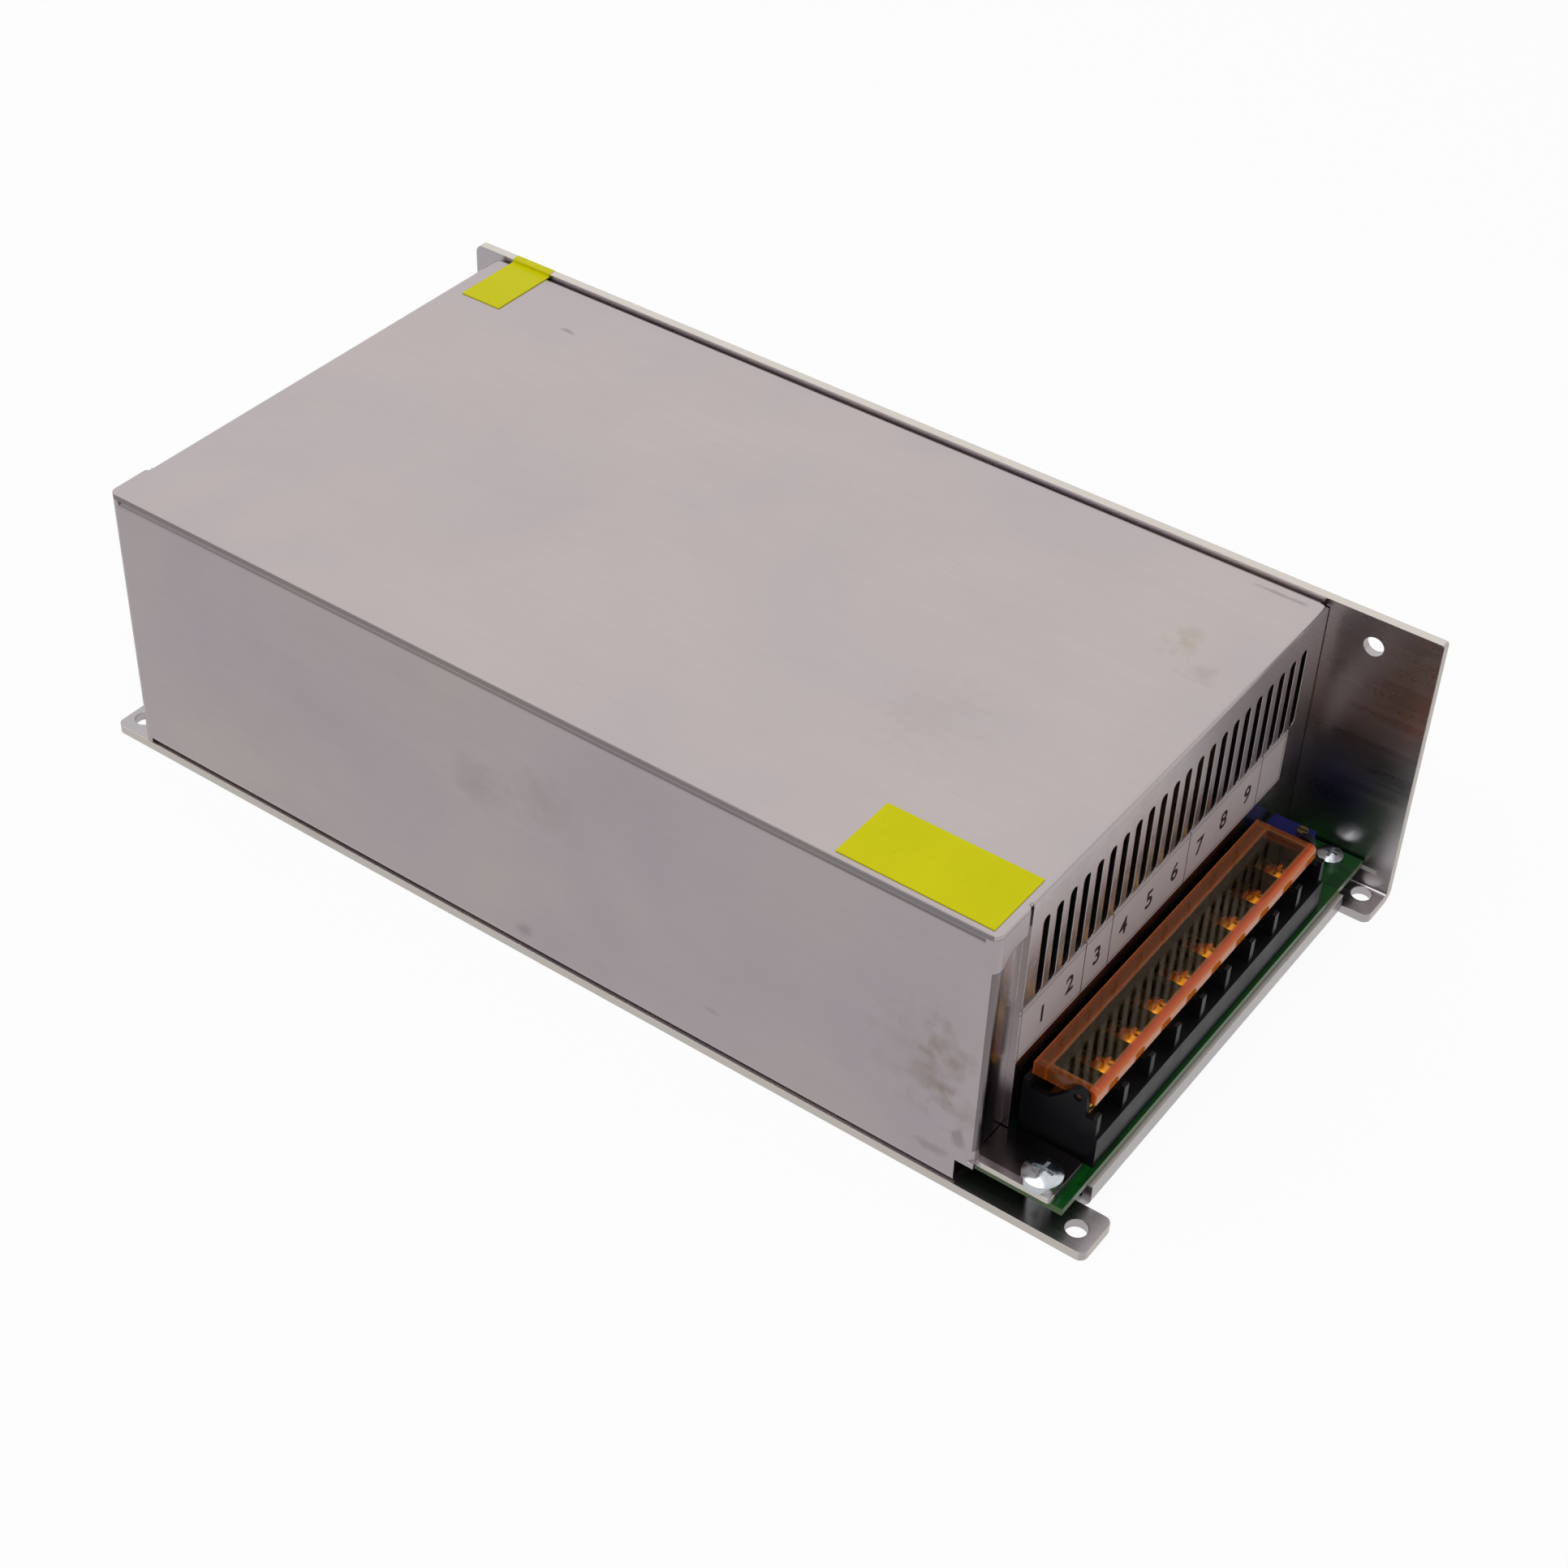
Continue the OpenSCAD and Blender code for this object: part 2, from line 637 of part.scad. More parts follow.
// Clear flip lid with a rim all round, hinged on two pins in the ears
module terminal_lid() {
    depth = lid_front - lid_back;
    color([1, 0.45, 0.05, 0.6]) union() {
        difference() {
            along_y(lid_y, lid_length) difference() {
                translate([lid_back, lid_base]) square([depth, lid_height]);
                translate([lid_front - 1.2, lid_top - 1.2]) corner_waste(1.2, 1, 1);
            }
            translate([lid_back + 2 * lid_wall, lid_y + lid_wall, lid_base - 1])
                cube([depth - 3 * lid_wall, lid_length - 2 * lid_wall, lid_height + 1 - lid_wall]);
            translate([lid_back + lid_rear_bar, lid_y + 1.6 * lid_wall, lid_top - 0.3])
                cube([depth - lid_rear_bar - 1.8 * lid_wall, lid_length - 3.2 * lid_wall, 1]);
        }
        for (y = [lid_y - lid_gap - pin_grip, lid_y + lid_length - 0.5]) translate([lid_pivot_x, y, lid_pivot_z])
            rotate([-90, 0, 0]) cylinder(r = lid_pin_r, h = pin_grip + lid_gap + 0.5);
    }
}

// Trimmer beside the far end of the block
module trimmer_body() {
    color("royalblue") difference() {
        translate([trimmer_x, trimmer_y, board_top]) cube([trimmer_length, trimmer_width, trimmer_height]);
        translate([trimmer_screw_x, trimmer_y + trimmer_width / 2, board_top + trimmer_height - 2.2])
            cylinder(r = 1.2 + running_clearance, h = 3);
    }
}

module trimmer_screw() {
    color("gold") translate([trimmer_screw_x, trimmer_y + trimmer_width / 2, board_top + trimmer_height - 1.9])
        difference() {
            cylinder(r = 1.2, h = 3);
            translate([-2, -0.25, 2.3]) cube([4, 0.5, 1]);
        }
}

// Labels
module strip_label() {
    color("lightgray") translate([front_x, strip_y, strip_z]) cube([label_thickness, strip_length, strip_height]);
}

module large_sticker() {
    color("yellow") translate([front_x - sticker_end_inset - sticker_length, near_y + sticker_side_inset, case_height])
        cube([sticker_length, sticker_width, label_thickness]);
}

// Seal over the seam: flat on the cover, up the inside of the chassis wall and over its top
module small_sticker() {
    color("yellow") along_x(rear_x + small_sticker_inset, small_sticker_length) {
        translate([wall_in - small_sticker_width, case_height]) square([small_sticker_width, label_thickness]);
        translate([wall_in - label_thickness, case_height]) square([label_thickness, wall_rise + label_thickness]);
        translate([wall_in - label_thickness, wall_top]) square([chassis_sheet - 0.2 + label_thickness, label_thickness]);
    }
}

// Fan
module fan_section(start, length) {
    translate([fan_x + start, 0, fan_z]) rotate([0, 90, 0]) linear_extrude(length) children();
}

module fan_frame() {
    half = fan_size / 2;
    base_x = fan_depth - hub_base_thickness;
    color([0.12, 0.12, 0.13]) union() {
        difference() {
            fan_section(0, fan_depth) translate([-half, -half]) rounded_plate(fan_size, fan_size, 3.5);
            fan_section(-1, fan_depth + 2) circle(fan_bore_r);
            fan_section(-1, fan_depth + 2) for (y = [-1, 1], z = [-1, 1])
                translate([y * fan_hole_spacing / 2, z * fan_hole_spacing / 2]) circle(d = 4.3);
        }
        difference() {
            fan_section(base_x, hub_base_thickness) {
                circle(d = hub_d + 1);
                for (a = [30, 120, 210, 300]) rotate(a) translate([0, -1.6]) square([fan_bore_r + 0.8, 3.2]);
            }
            fan_section(base_x - 1, hub_base_thickness) circle(shaft_r + running_clearance);
        }
    }
}

module fan_rotor() {
    rotor_front = 1.6;
    rotor_depth = fan_depth - hub_base_thickness - rotor_gap - rotor_front;
    tip_r = fan_bore_r - 0.7;
    color([0.08, 0.08, 0.09]) union() {
        fan_section(rotor_front, rotor_depth) circle(d = hub_d);
        fan_section(rotor_front + rotor_depth - 0.2, rotor_gap + 2) circle(shaft_r);
        intersection() {
            difference() {
                fan_section(rotor_front, rotor_depth) circle(tip_r);
                fan_section(rotor_front - 1, rotor_depth + 2) circle(d = hub_d - 1);
            }
            for (i = [0:blade_count - 1]) translate([fan_x + rotor_front + rotor_depth / 2, 0, fan_z])
                rotate([i * 360 / blade_count, 0, 0]) rotate([0, 0, 40])
                    translate([-10, -0.7, hub_d / 2 - 1]) cube([20, 1.4, tip_r]);
        }
    }
}

module fan_screws() {
    color("dimgray") for (y = [-1, 1], z = [-1, 1])
        translate([rear_x, y * fan_hole_spacing / 2, fan_z + z * fan_hole_spacing / 2])
            rotate([0, -90, 0]) pan_screw(6, 1.9, 3.4, cover_sheet + 12);
}

socket_x = rear_x + cover_sheet + fan_depth + 7;
socket_y = near_y + 30;

module fan_socket() {
    color("white") difference() {
        translate([socket_x, socket_y, board_top]) cube([6, 7.5, 7]);
        translate([socket_x + 1, socket_y + 1, board_top + 2]) cube([4, 5.5, 6]);
    }
}

// Two-wire fan lead from the hub base along the frame and down into its plug
lead_r = 0.8;
lead_x = fan_x + fan_depth + lead_r;
plug_z = board_top + 7.2;

function unit(v) = v / norm(v);
function heading(path, i) = unit(path[min(i + 1, len(path) - 1)] - path[max(i - 1, 0)]);
function tube_ring(path, i, r, sides) =
    let (t = heading(path, i), u = unit(cross(t, [0.9, 0.4, 0.1])), v = cross(t, u))
    [for (k = [0:sides - 1]) path[i] + r * (cos(360 * k / sides) * u + sin(360 * k / sides) * v)];

module tube(path, r, sides) {
    rings = len(path);
    last = (rings - 1) * sides;
    polyhedron(
        points = [for (i = [0:rings - 1]) each tube_ring(path, i, r, sides)],
        faces = concat(
            [[for (k = [0:sides - 1]) k]],
            [for (i = [0:rings - 2], k = [0:sides - 1])
                [i * sides + k, (i + 1) * sides + k, (i + 1) * sides + (k + 1) % sides, i * sides + (k + 1) % sides]],
            [[for (k = [sides - 1:-1:0]) last + k]]
        )
    );
}

function lead_path(shift) = [
    [lead_x, -7, fan_z - 3 + shift],
    [lead_x, -12, fan_z - 6 + shift],
    [lead_x, -17, fan_z - 10 + shift],
    [lead_x + 0.1, socket_y + 8 + shift, plug_z + 9],
    [lead_x + 0.8, socket_y + 5.5 + shift, plug_z + 5],
    [(lead_x + socket_x + 3) / 2, socket_y + 4.2 + shift, plug_z + 3.5],
    [socket_x + 2.6, socket_y + 3.75 + shift, plug_z + 2.2],
    [socket_x + 3, socket_y + 3.75 + shift, plug_z + 0.8],
    [socket_x + 3, socket_y + 3.75 + shift, plug_z]
];

module fan_lead() {
    color("firebrick") {
        for (shift = [-1.2, 1.2]) tube(lead_path(shift), lead_r, 8);
        translate([socket_x + 1.1, socket_y + 1.1, board_top + 2]) cube([3.8, 5.3, plug_z - board_top - 2]);
    }
}

// Main transformer
module transformer_core() {
    limb = core_length / 6;
    color([0.2, 0.2, 0.22]) translate([core_x, core_y, board_top + 2]) difference() {
        cube([core_length, core_depth, core_height - 2]);
        for (x = [limb, core_length / 2 + limb])
            translate([x, -1, limb]) cube([core_length / 2 - 2 * limb, core_depth + 2, core_height - 2 - 2 * limb]);
    }
}

module transformer_winding() {
    limb = core_length / 6;
    fit = 0.2;
    color("khaki") difference() {
        union() {
            translate([core_x + limb + fit, core_y - winding_wall, board_top + 2 + limb + fit])
                cube([core_length - 2 * (limb + fit), core_depth + 2 * winding_wall, core_height - 2 - 2 * (limb + fit)]);
            for (y = [core_y - winding_wall, core_y + core_depth + winding_wall - 4])
                translate([core_x + 2, y, board_top]) cube([core_length - 4, 4, 2 + limb + 3]);
        }
        translate([core_x + core_length / 2 - limb - fit, core_y - fit, board_top])
            cube([2 * (limb + fit), core_depth + 2 * fit, core_height]);
    }
}

// Capacitors
module can(d, h) {
    rotate_extrude() difference() {
        square([d / 2, h]);
        translate([d / 2 + 0.5, h * 0.12]) circle(r = 1.1);
        translate([0, h - 0.4]) square([d / 2 - 1.5, 1]);
    }
}

module bulk_capacitors() {
    color("midnightblue") for (x = bulk_x) translate([x, bulk_y, board_top]) can(bulk_d, bulk_height);
}

module output_capacitors() {
    color("black") for (i = [0:output_caps - 1])
        translate([front_x - 14 - output_cap_d / 2, output_cap_start - i * output_cap_pitch, board_top])
            can(output_cap_d, output_cap_height);
}

// Toroidal chokes lying on the board
module ring(major, minor) {
    rotate_extrude() translate([major, 0]) circle(minor, $fn = 32);
}

module shell_ring(major, minor, wall) {
    rotate_extrude() translate([major, 0]) difference() {
        circle(minor + wall, $fn = 32);
        circle(minor + 0.03, $fn = 32);
    }
}

// Block that keeps the part of a winding on one side of a gap of the given width
module winding_side(choke, gap) {
    reach = choke_reach(choke);
    translate([gap / 2, -reach, -choke_rise(choke)]) cube([reach, 2 * reach, 2 * choke_rise(choke)]);
}

module input_choke_core() {
    color("olivedrab") translate(input_choke_place) ring(input_choke[0], input_choke[1]);
}

module input_choke_winding() {
    color("peru") translate(input_choke_place) intersection() {
        shell_ring(input_choke[0], input_choke[1], wire_layer);
        for (a = [0, 180]) rotate([0, 0, a]) winding_side(input_choke, 3);
    }
}

module output_choke_core() {
    color("gold") translate(output_choke_place) ring(output_choke[0], output_choke[1]);
}

module output_choke_winding() {
    color("peru") translate(output_choke_place) intersection() {
        shell_ring(output_choke[0], output_choke[1], wire_layer);
        rotate([0, 0, 180]) winding_side(output_choke, -1.6 * output_choke[0]);
    }
}

// Semiconductors on the heat spreading bars
function transistor_x(i) = bar_x + 18 + i * (bar_length - 36) / (transistor_count - 1);

module heat_bars() {
    color("silver") difference() {
        union() {
            translate([bar_x, near_bar_y, board_top]) cube([bar_length, bar_thickness, bar_height]);
            translate([bar_x, far_bar_y, board_top]) cube([bar_length, bar_thickness, bar_height]);
        }
        for (i = [0:transistor_count - 2]) translate([clamp_screw_x(i), 0, clamp_z()]) {
            translate([0, near_bar_y + bar_thickness - 4, 0]) rotate([-90, 0, 0]) cylinder(d = 3, h = 5);
            translate([0, far_bar_y - 1, 0]) rotate([-90, 0, 0]) cylinder(d = 3, h = 5);
        }
    }
}

function clamp_screw_x(i) = (transistor_x(i) + transistor_x(i + 1)) / 2;
function clamp_z() = board_top + lead_length + transistor_height / 2;

module transistor() {
    translate([-transistor_width / 2, 0, lead_length]) cube([transistor_width, transistor_thickness, transistor_height]);
    for (x = [-5.4, 0, 5.4]) translate([x - 0.6, 1.8, 0]) cube([1.2, 0.7, lead_length + 0.5]);
}

module transistors() {
    color([0.1, 0.1, 0.1]) for (i = [0:transistor_count - 1]) {
        translate([transistor_x(i), near_bar_y + bar_thickness, board_top]) transistor();
        translate([transistor_x(i), far_bar_y, board_top]) mirror([0, 1, 0]) transistor();
    }
}

module clamp_bars() {
    span = bar_length - 14;
    color("gray") difference() {
        for (y = [near_bar_y + bar_thickness + transistor_thickness, far_bar_y - transistor_thickness - clamp_bar])
            translate([bar_x + 7, y, clamp_z() - 4]) cube([span, clamp_bar, 8]);
        for (i = [0:transistor_count - 2]) translate([clamp_screw_x(i), 0, clamp_z()])
            translate([0, near_y, 0]) rotate([-90, 0, 0]) cylinder(d = 3.2, h = case_width);
    }
}

module clamp_screws() {
    reach = clamp_bar + transistor_thickness + 3;
    color("silver") for (i = [0:transistor_count - 2]) {
        translate([clamp_screw_x(i), near_bar_y + bar_thickness + transistor_thickness + clamp_bar, clamp_z()])
            rotate([-90, 0, 0]) pan_screw(5.6, 2, 2.9, reach);
        translate([clamp_screw_x(i), far_bar_y - transistor_thickness - clamp_bar, clamp_z()])
            rotate([90, 0, 0]) pan_screw(5.6, 2, 2.9, reach);
    }
}

module bridge_rectifier() {
    color([0.13, 0.13, 0.14]) translate([front_x - bar_front_gap + 3.5, side_in, board_top]) {
        translate([0, 0, 5]) cube([28, 5, 20]);
        for (x = [3, 10, 18, 25]) translate([x - 0.6, 2, 0]) cube([1.2, 1, 5.5]);
    }
}

// Input side parts near the terminals
module film_capacitors() {
    color("goldenrod") {
        translate([front_x - 26, film_y, board_top]) cube([film_depth, film_width, 20]);
        translate([filter_x, near_y + 24, board_top]) cube([filter_depth, 22, 17]);
    }
}

fuse_place = [front_x - 9, near_y + 24, board_top + 6];

module fuse() {
    color("lightblue") translate(fuse_place) rotate([-90, 0, 0]) {
        cylinder(d = 4.6, h = 20);
        cylinder(d = 5.2, h = 5);
        translate([0, 0, 15]) cylinder(d = 5.2, h = 5);
    }
}

module fuse_clips() {
    color("silver") for (y = [0.8, 15.6]) translate([fuse_place[0], fuse_place[1] + y, board_top]) difference() {
        translate([-3.4, 0, 0]) cube([6.8, 3.6, 8]);
        translate([0, -1, fuse_place[2] - board_top]) rotate([-90, 0, 0]) cylinder(d = 5.3, h = 6);
        translate([-2.65, -1, fuse_place[2] - board_top]) cube([5.3, 6, 5]);
        translate([-2.6, -1, 0.8]) cube([5.2, 6, 2.4]);
    }
}

module relay() {
    color("steelblue") translate([rear_x + 38, film_y, board_top]) cube([15.5, 15, 19]);
}

module drive_transformer() {
    color("darkkhaki") translate([rear_x + 46, near_y + 56, board_top]) {
        cube([20, 16, 6]);
        translate([3, 2, 6]) cube([14, 12, 9]);
        translate([0, 5, 4]) cube([20, 6, 13]);
    }
}

chassis();
side_panel();
top_cover();
cover_screws();
base_screws();
board();
board_standoffs();
foot_screw();
board_screws();
terminal_block();
terminal_screws();
terminal_clamps();
terminal_lid();
trimmer_body();
trimmer_screw();
strip_label();
large_sticker();
small_sticker();
fan_frame();
fan_rotor();
fan_screws();
fan_socket();
fan_lead();
transformer_core();
transformer_winding();
bulk_capacitors();
output_capacitors();
input_choke_core();
input_choke_winding();
output_choke_core();
output_choke_winding();
bridge_rectifier();
heat_bars();
transistors();
clamp_bars();
clamp_screws();
film_capacitors();
fuse();
fuse_clips();
relay();
drive_transformer();
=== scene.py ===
import bpy, json, math
from mathutils import Matrix, Vector


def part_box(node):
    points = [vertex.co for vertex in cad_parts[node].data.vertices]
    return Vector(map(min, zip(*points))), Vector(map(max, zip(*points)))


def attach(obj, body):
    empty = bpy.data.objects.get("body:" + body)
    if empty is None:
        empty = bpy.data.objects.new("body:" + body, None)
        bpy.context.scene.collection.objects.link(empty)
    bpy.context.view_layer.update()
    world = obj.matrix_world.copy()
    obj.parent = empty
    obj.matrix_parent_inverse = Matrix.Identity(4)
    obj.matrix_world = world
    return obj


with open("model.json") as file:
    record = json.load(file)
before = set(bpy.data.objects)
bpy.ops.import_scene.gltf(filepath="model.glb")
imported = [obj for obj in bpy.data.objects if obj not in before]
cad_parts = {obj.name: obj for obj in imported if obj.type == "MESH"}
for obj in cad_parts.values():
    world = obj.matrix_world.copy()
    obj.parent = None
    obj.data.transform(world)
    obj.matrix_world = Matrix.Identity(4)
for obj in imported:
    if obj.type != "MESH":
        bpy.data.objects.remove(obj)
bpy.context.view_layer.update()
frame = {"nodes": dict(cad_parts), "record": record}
scene = bpy.context.scene
scene.view_settings.view_transform = "Standard"

# The corners of the CAD nodes that looks are measured from. Lengths are metres throughout.
chassis_lo, chassis_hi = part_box("chassis")
panel_lo, panel_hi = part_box("side_panel")
cover_lo, cover_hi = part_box("top_cover")
board_lo, board_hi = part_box("board")
block_lo, block_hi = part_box("terminal_block")
label_lo, label_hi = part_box("strip_label")
lid_lo, lid_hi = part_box("terminal_lid")

FAR = 1.0  # past every edge of the part, for a band that runs to the end
WAYS = 9  # terminals in the block
BLOCK_END = 0.0007  # block past the first and the last way
way_pitch = (block_hi[1] - block_lo[1] - 2 * BLOCK_END) / WAYS
way_y = [block_lo[1] + BLOCK_END + way_pitch * (i + 0.5) for i in range(WAYS)]


def lin(r, g, b):
    """sRGB 0-255 to linear RGBA."""
    f = lambda c: c / 12.92 if c <= 0.04045 else ((c + 0.055) / 1.055) ** 2.4
    return (f(r / 255), f(g / 255), f(b / 255), 1.0)


def shade(colour, factor, lift=0.0):
    """A darker or paler shade of a linear colour."""
    return tuple(min(1, c * factor + lift) for c in colour[:3]) + (1,)


# Camera at the photograph's angle: place, then angles in radians, then lens and sensor in mm
CAMERA_PLACE = (0.26355, -0.37150, 0.39534)
AZIMUTH, ELEVATION, ROLL = -0.9744, 0.7043, 0.0444
LENS, SENSOR = 64.13, 36


def place_camera():
    flat = math.cos(ELEVATION)
    forward = -Vector((flat * math.cos(AZIMUTH), flat * math.sin(AZIMUTH), math.sin(ELEVATION)))
    right = forward.cross(Vector((0, 0, 1))).normalized()
    up = right.cross(forward)
    cam_x = math.cos(ROLL) * right + math.sin(ROLL) * up
    cam_y = math.cos(ROLL) * up - math.sin(ROLL) * right
    turn = Matrix((cam_x, cam_y, -forward)).transposed().to_4x4()
    cam = bpy.data.objects.new("camera", bpy.data.cameras.new("camera"))
    scene.collection.objects.link(cam)
    cam.matrix_world = Matrix.Translation(CAMERA_PLACE) @ turn
    cam.data.sensor_width = SENSOR
    cam.data.lens = LENS
    cam.data.clip_start, cam.data.clip_end = 0.01, 50
    scene.camera = cam


place_camera()


# Materials
class Graph:
    """A short way to write a node tree; object coordinates are the part's own frame in metres."""

    def __init__(self, name):
        self.mat = bpy.data.materials.new(name)
        self.mat.use_nodes = True
        self.tree = self.mat.node_tree
        self.tree.nodes.clear()
        self.out = self.node("ShaderNodeOutputMaterial")
        self.bsdf = self.node("ShaderNodeBsdfPrincipled")
        self.tree.links.new(self.bsdf.outputs[0], self.out.inputs["Surface"])
        self.coord = self.node("ShaderNodeTexCoord").outputs["Object"]
        self.height = None

    def node(self, kind, **props):
        n = self.tree.nodes.new(kind)
        for k, v in props.items():
            setattr(n, k, v)
        return n

    def put(self, socket, value):
        """Links a socket, or sets a plain value."""
        if isinstance(value, bpy.types.NodeSocket):
            self.tree.links.new(value, socket)
        else:
            socket.default_value = value

    def set(self, **values):
        """Puts values on the shader, named with _ for each space."""
        for k, v in values.items():
            self.put(self.bsdf.inputs[k.replace("_", " ")], v)

    def scaled(self, scale):
        m = self.node("ShaderNodeMapping")
        self.put(m.inputs["Vector"], self.coord)
        m.inputs["Scale"].default_value = scale if isinstance(scale, tuple) else (scale,) * 3
        return m.outputs[0]

    def noise(self, scale, detail, rough=0.5, distort=0.0):
        n = self.node("ShaderNodeTexNoise")
        self.put(n.inputs["Vector"], self.scaled(scale))
        n.inputs["Scale"].default_value = 1.0
        n.inputs["Detail"].default_value = detail
        n.inputs["Roughness"].default_value = rough
        n.inputs["Distortion"].default_value = distort
        return n.outputs["Fac"]

    def ramp(self, value, a, b, lo=0.0, hi=1.0):
        """Value from a to b, carried to lo to hi and held there."""
        n = self.node("ShaderNodeMapRange")
        self.put(n.inputs["Value"], value)
        for k, v in (("From Min", a), ("From Max", b), ("To Min", lo), ("To Max", hi)):
            n.inputs[k].default_value = v
        return n.outputs[0]

    def math(self, op, a, b):
        n = self.node("ShaderNodeMath", operation=op)
        self.put(n.inputs[0], a)
        self.put(n.inputs[1], b)
        return n.outputs[0]

    def mix(self, fac, a, b):
        n = self.node("ShaderNodeMix", data_type="RGBA")
        self.put(n.inputs["Factor"], fac)
        self.put(n.inputs["A"], a)
        self.put(n.inputs["B"], b)
        return n.outputs["Result"]

    def axis(self, name):
        n = self.node("ShaderNodeSeparateXYZ")
        self.put(n.inputs[0], self.coord)
        return n.outputs[name]

    def spot(self, centre, radii, soft, ragged):
        """Soft ellipsoid mask, 1 at its centre, with an edge broken up by noise."""
        m = self.node("ShaderNodeMapping", vector_type="POINT")
        self.put(m.inputs["Vector"], self.coord)
        m.inputs["Scale"].default_value = tuple(1 / r for r in radii)
        m.inputs["Location"].default_value = tuple(-c / r for c, r in zip(centre, radii))
        n = self.node("ShaderNodeVectorMath", operation="LENGTH")
        self.put(n.inputs[0], m.outputs[0])
        broken = self.math("MULTIPLY", self.ramp(self.noise(300.0, 4), 0.3, 0.7, -1, 1), ragged)
        return self.ramp(self.math("ADD", n.outputs["Value"], broken), 1.0, 1.0 - soft)

    def inside(self, axis, a, b, *rest):
        """1 where the coordinate lies between a and b, and so on for further (axis, a, b) in rest."""
        v = self.axis(axis)
        m = self.math("MULTIPLY", self.math("GREATER_THAN", v, a), self.math("LESS_THAN", v, b))
        return self.math("MULTIPLY", m, self.inside(*rest)) if rest else m

    def inside_any(self, boxes):
        """1 inside any of the boxes."""
        m = 0.0
        for box in boxes:
            m = self.math("MAXIMUM", m, self.inside(*box))
        return m

    def bump(self, height, strength, distance):
        """Adds fine relief over what the surface already has."""
        n = self.node("ShaderNodeBump")
        n.inputs["Strength"].default_value = strength
        n.inputs["Distance"].default_value = distance
        self.put(n.inputs["Height"], height)
        if self.height is not None:
            self.put(n.inputs["Normal"], self.height)
        self.height = n.outputs[0]
        self.put(self.bsdf.inputs["Normal"], self.height)

    def bevel(self, radius):
        """Softens the look of every edge. It comes before any bump."""
        n = self.node("ShaderNodeBevel", samples=6)
        n.inputs["Radius"].default_value = radius
        self.height = n.outputs[0]
        self.put(self.bsdf.inputs["Normal"], self.height)


def sheet_metal(name, base, tint, rough, marks=(), cut_edge_highlight=(), painted_shade=()):
    """Rolled sheet: cloudy tint, faint long grain and soft edges, with its own marks.

    marks: (centre, radii, softness, raggedness, colour, amount)
    cut_edge_highlight: boxes of cut edge, matt as bare metal and painted paler as a highlight where the edges
    catch the light
    painted_shade: (box, amount) for faces painted darker as shade
    """
    g = Graph(name)
    g.bevel(0.00025)
    cloud = g.noise(17, 3, 0.55, 0.4)
    streak = g.noise((9, 700, 700), 2)
    blotch = g.noise((38, 55, 55), 5, 0.62)
    col = g.mix(g.ramp(cloud, 0.35, 0.68), base, tint)
    col = g.mix(g.ramp(streak, 0.3, 0.7, 0.0, 0.10), col, shade(base, 0.82))
    col = g.mix(g.ramp(blotch, 0.45, 0.8, 0.0, 0.16), col, shade(base, 0.8))
    grain = g.ramp(streak, 0.3, 0.7, rough - 0.02, rough + 0.03)
    r = g.math("ADD", grain, g.ramp(blotch, 0.3, 0.7, -0.03, 0.06))
    for centre, radii, soft, ragged, colour, amount in marks:
        m = g.math("MULTIPLY", g.spot(centre, radii, soft, ragged), amount)
        col = g.mix(m, col, colour)
        r = g.math("ADD", r, g.math("MULTIPLY", m, 0.12))
    if cut_edge_highlight:
        edge = g.inside_any(cut_edge_highlight)
        # painted highlight: the cut edges are painted paler where they catch the light, and made matt as bare
        # metal
        col = g.mix(edge, col, lin(214, 208, 202))
        r = g.math("ADD", r, g.math("MULTIPLY", edge, 0.35))
    for box, amount in painted_shade:
        # painted shade: these faces are darkened towards a dark grey where shade falls
        col = g.mix(g.math("MULTIPLY", g.inside(*box), amount), col, lin(62, 56, 56))
    g.set(Base_Color=col, Metallic=1.0, Roughness=r)
    g.bump(g.noise((5, 260, 260), 1, 0.4), 0.05, 0.00005)
    g.bump(g.noise(42, 2), 0.10, 0.0002)
    return g.mat


def plain_metal(name, base, rough):
    """Small metal parts: slightly uneven colour and shine."""
    g = Graph(name)
    g.bevel(0.0001)
    n = g.noise(700, 3, 0.6)
    g.set(
        Base_Color=g.mix(g.ramp(n, 0.3, 0.7, 0.0, 0.35), base, shade(base, 0.7)),
        Metallic=1.0,
        Roughness=g.ramp(n, 0.3, 0.7, rough - 0.08, rough + 0.08),
    )
    g.bump(n, 0.1, 0.00003)
    return g.mat


def plastic(name, base, rough, spec=0.5, grain=2500, depth=0.00002):
    """Moulded or painted parts: a fine grain and slow change of shade."""
    g = Graph(name)
    g.bevel(0.00015)
    cloud = g.noise(120, 3)
    g.set(
        Base_Color=g.mix(g.ramp(cloud, 0.35, 0.7, 0.0, 0.3), base, shade(base, 1.35, 0.004)),
        Roughness=g.ramp(cloud, 0.3, 0.7, rough - 0.05, rough + 0.06),
        Specular_IOR_Level=spec,
    )
    g.bump(g.noise(grain, 2), 0.15, depth)
    return g.mat


def label_mat(name, base, ink=None, lines=(), spec=0.4):
    """Printed film: paper grain, slight fading and handling marks, and thin printed rules."""
    g = Graph(name)
    fade = g.noise(70, 4, 0.6)
    grain = g.noise(2600, 2, 0.6)
    scuff = g.noise((900, 140, 300), 3, 0.7)
    col = g.mix(g.ramp(fade, 0.35, 0.75, 0.0, 0.5), base, shade(base, 0.86))
    col = g.mix(g.ramp(grain, 0.35, 0.75, 0.0, 0.25), col, shade(base, 1.12))
    col = g.mix(g.ramp(scuff, 0.64, 0.78, 0.0, 0.25), col, shade(base, 0.6))
    if lines:
        worn = g.ramp(grain, 0.3, 0.6, 0.6, 0.95)
        col = g.mix(g.math("MULTIPLY", g.inside_any(lines), worn), col, ink)
    g.set(Base_Color=col, Roughness=g.ramp(fade, 0.3, 0.7, 0.34, 0.46), Specular_IOR_Level=spec)
    g.bump(g.noise(160, 3), 0.12, 0.00012)
    g.bump(grain, 0.1, 0.00001)
    return g.mat


